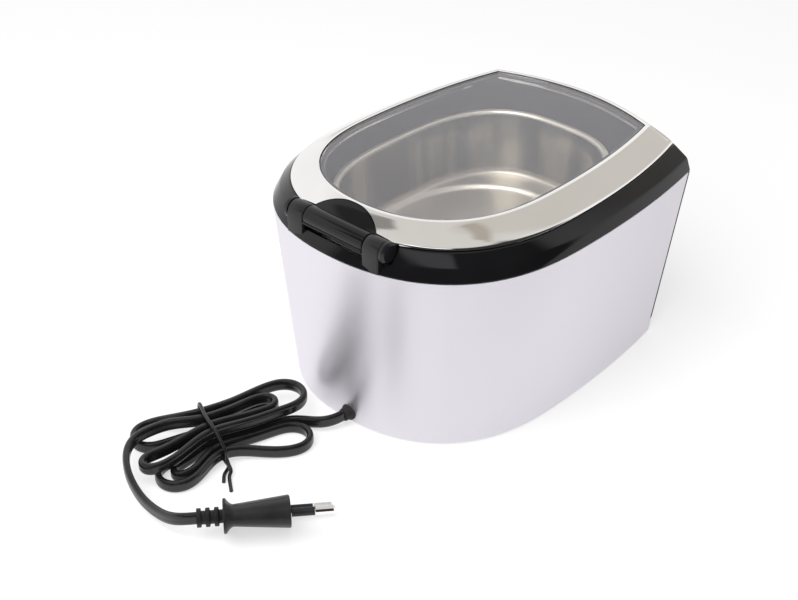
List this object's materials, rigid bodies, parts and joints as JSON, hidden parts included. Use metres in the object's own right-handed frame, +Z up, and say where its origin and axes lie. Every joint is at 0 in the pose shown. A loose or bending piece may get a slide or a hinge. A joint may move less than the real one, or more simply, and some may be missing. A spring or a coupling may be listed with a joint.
{
  "type": "ultrasonic cleaner",
  "caption": "Bench-top ultrasonic cleaner with a tapered housing, a hinged chrome lid with a smoked window, a drawn steel tank, and a tied flat cord with plug.",
  "frame": {"origin": "on the floor under the middle of the housing, cord left out", "axes": "+Z up, +Y to the hinge and cord side, -Y to the front panel"},
  "size_m": [0.1594, 0.3022, 0.1154],
  "materials": {
    "silver_housing": "satin silver",
    "gloss_black": "gloss",
    "chrome": "polished",
    "smoked_clear": "clear, smoked",
    "stainless": "satin",
    "rubber": "matte",
    "circuit_board": "matte",
    "aluminium": "machined",
    "ceramic": "fired",
    "copper": "plain",
    "dark_plastic": "matte",
    "grey_plastic": "matte",
    "cord_black": "satin"
  },
  "bodies": {
    "base": {"back_mass": "stainless", "base_plate": "dark_plastic", "base_screw_1": "stainless", "base_screw_2": "stainless", "base_screw_3": "stainless", "base_screw_4": "stainless", "board_screw_1": "stainless", "board_screw_2": "stainless", "board_screw_3": "stainless", "board_screw_4": "stainless", "body_shell": "silver_housing", "capacitor": "dark_plastic", "choke_coil": "copper", "control_board": "circuit_board", "cord_gland": "rubber", "cord_hank": "cord_black", "cord_lead": "cord_black", "cord_tail": "cord_black", "cord_tie": "cord_black", "display_lens": "smoked_clear", "display_module": "dark_plastic", "driver_board": "circuit_board", "electrode": "copper", "foot_1": "rubber", "foot_2": "rubber", "foot_3": "rubber", "foot_4": "rubber", "front_panel": "gloss_black", "fuse_holder": "grey_plastic", "heat_sink": "aluminium", "hinge_cap_left": "gloss_black", "hinge_cap_right": "gloss_black", "hinge_pin": "stainless", "piezo_lower": "ceramic", "piezo_upper": "ceramic", "plug_body": "cord_black", "plug_pin_far": "chrome", "plug_pin_near": "chrome", "plug_sleeve_far": "cord_black", "plug_sleeve_near": "cord_black", "stack_bolt": "stainless", "switch_off": "dark_plastic", "switch_on": "dark_plastic", "switch_set": "dark_plastic", "tank": "stainless", "tank_gasket": "rubber", "top_bezel": "gloss_black", "transducer_horn": "aluminium", "transformer": "dark_plastic"},
    "lid": {"lid_frame": "chrome", "lid_window": "smoked_clear", "window_seal": "rubber", "hinge_leaf": "gloss_black"},
    "button_on": {"button_on": "grey_plastic"},
    "button_off": {"button_off": "grey_plastic"},
    "button_set": {"button_set": "grey_plastic"}
  },
  "joints": [
    {"name": "lid_hinge", "type": "hinge", "parent": "base", "child": "lid", "pos_m": [0, 0.0905, 0.1059], "axis": [-1, 0, 0], "range_deg": [0, 95]},
    {"name": "press_on", "type": "slide", "parent": "base", "child": "button_on", "axis": [0, 1, 0], "range_m": [0, 0.0008], "stiffness_N_per_m": 300},
    {"name": "press_set", "type": "slide", "parent": "base", "child": "button_set", "axis": [0, 1, 0], "range_m": [0, 0.0008], "stiffness_N_per_m": 300},
    {"name": "press_off", "type": "slide", "parent": "base", "child": "button_off", "axis": [0, 1, 0], "range_m": [0, 0.0008], "stiffness_N_per_m": 300}
  ]
}
